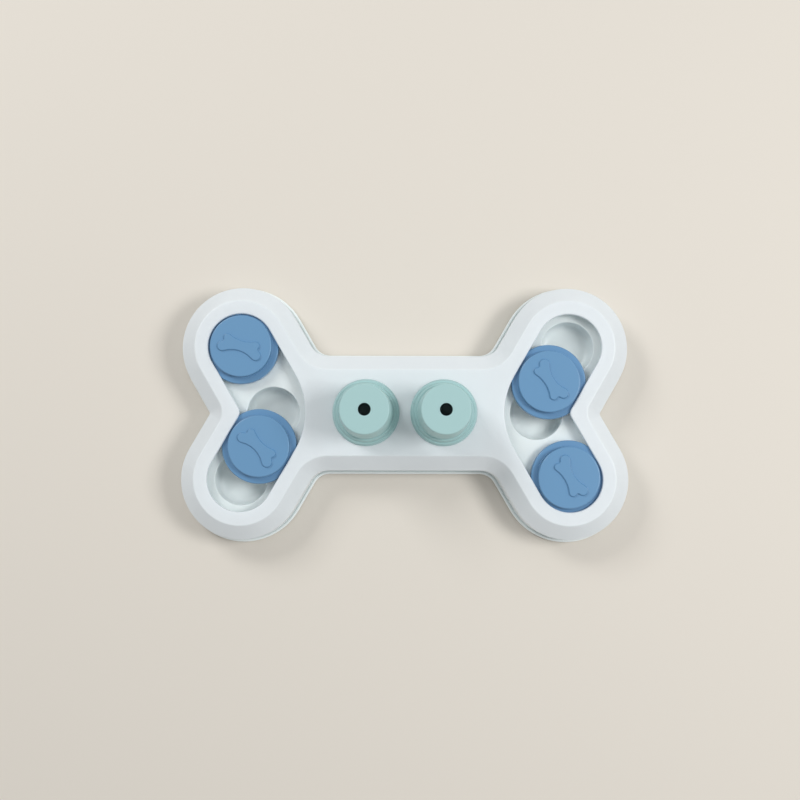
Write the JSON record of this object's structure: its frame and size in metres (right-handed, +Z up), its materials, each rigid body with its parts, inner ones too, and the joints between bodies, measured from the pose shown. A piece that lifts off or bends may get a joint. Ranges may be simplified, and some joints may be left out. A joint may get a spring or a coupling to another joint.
{
  "type": "dog puzzle feeder toy",
  "caption": "Bone-shaped treat board with round caps that slide along bent tracks over hidden wells, and lift-off hollow cones over round dishes.",
  "frame": {"origin": "under the middle of the board, on the surface that the rubber feet stand on", "axes": "+X along the bone to the right, +Y across it to the back, +Z up"},
  "size_m": [0.34, 0.1942, 0.081],
  "materials": {
    "board": "fine satin, injection moulded",
    "slider_plate": "satin",
    "slider_cap": "satin",
    "cone": "satin",
    "foot": "matt",
    "screw": "plated"
  },
  "bodies": {
    "board": {"top_cover": "board", "base_tray": "board", "cover_screws": "screw", "foot_back_left": "foot", "foot_front_left": "foot", "foot_back_right": "foot", "foot_front_right": "foot", "foot_bar_back": "foot", "foot_bar_front": "foot"},
    "plate_back_left": {"slider_plate_back_left": "slider_plate"},
    "plate_front_left": {"slider_plate_front_left": "slider_plate"},
    "plate_back_right": {"slider_plate_back_right": "slider_plate"},
    "plate_front_right": {"slider_plate_front_right": "slider_plate"},
    "cap_back_left": {"slider_cap_back_left": "slider_cap"},
    "cap_front_left": {"slider_cap_front_left": "slider_cap"},
    "cap_back_right": {"slider_cap_back_right": "slider_cap"},
    "cap_front_right": {"slider_cap_front_right": "slider_cap"},
    "cone_left": {"treat_cone_left": "cone"},
    "cone_right": {"treat_cone_right": "cone"}
  },
  "joints": [
    {"name": "slide_back_left", "type": "slide", "parent": "board", "child": "plate_back_left", "axis": [0.5, -0.866, 0], "range_m": [0, 0.0205]},
    {"name": "slide_front_left", "type": "slide", "parent": "board", "child": "plate_front_left", "axis": [-0.5, -0.866, 0], "range_m": [-0.0131, 0.0279]},
    {"name": "slide_back_right", "type": "slide", "parent": "board", "child": "plate_back_right", "axis": [0.5, 0.866, 0], "range_m": [-0.011, 0.0301]},
    {"name": "slide_front_right", "type": "slide", "parent": "board", "child": "plate_front_right", "axis": [-0.5, 0.866, 0], "range_m": [-0.0015, 0.0175]},
    {"name": "cap_turn_back_left", "type": "hinge", "parent": "plate_back_left", "child": "cap_back_left", "pos_m": [-0.1222, 0.0493, 0.032], "axis": [0, 0, 1], "continuous": true},
    {"name": "cap_turn_front_left", "type": "hinge", "parent": "plate_front_left", "child": "cap_front_left", "pos_m": [-0.10825, -0.02514, 0.032], "axis": [0, 0, 1], "continuous": true},
    {"name": "cap_turn_back_right", "type": "hinge", "parent": "plate_back_right", "child": "cap_back_right", "pos_m": [0.10715, 0.02323, 0.032], "axis": [0, 0, 1], "continuous": true},
    {"name": "cap_turn_front_right", "type": "hinge", "parent": "plate_front_right", "child": "cap_front_right", "pos_m": [0.12145, -0.048, 0.032], "axis": [0, 0, 1], "continuous": true},
    {"name": "lift_cone_left", "type": "slide", "parent": "board", "child": "cone_left", "axis": [0, 0, 1], "range_m": [0, 0.06]},
    {"name": "lift_cone_right", "type": "slide", "parent": "board", "child": "cone_right", "axis": [0, 0, 1], "range_m": [0, 0.06]}
  ]
}
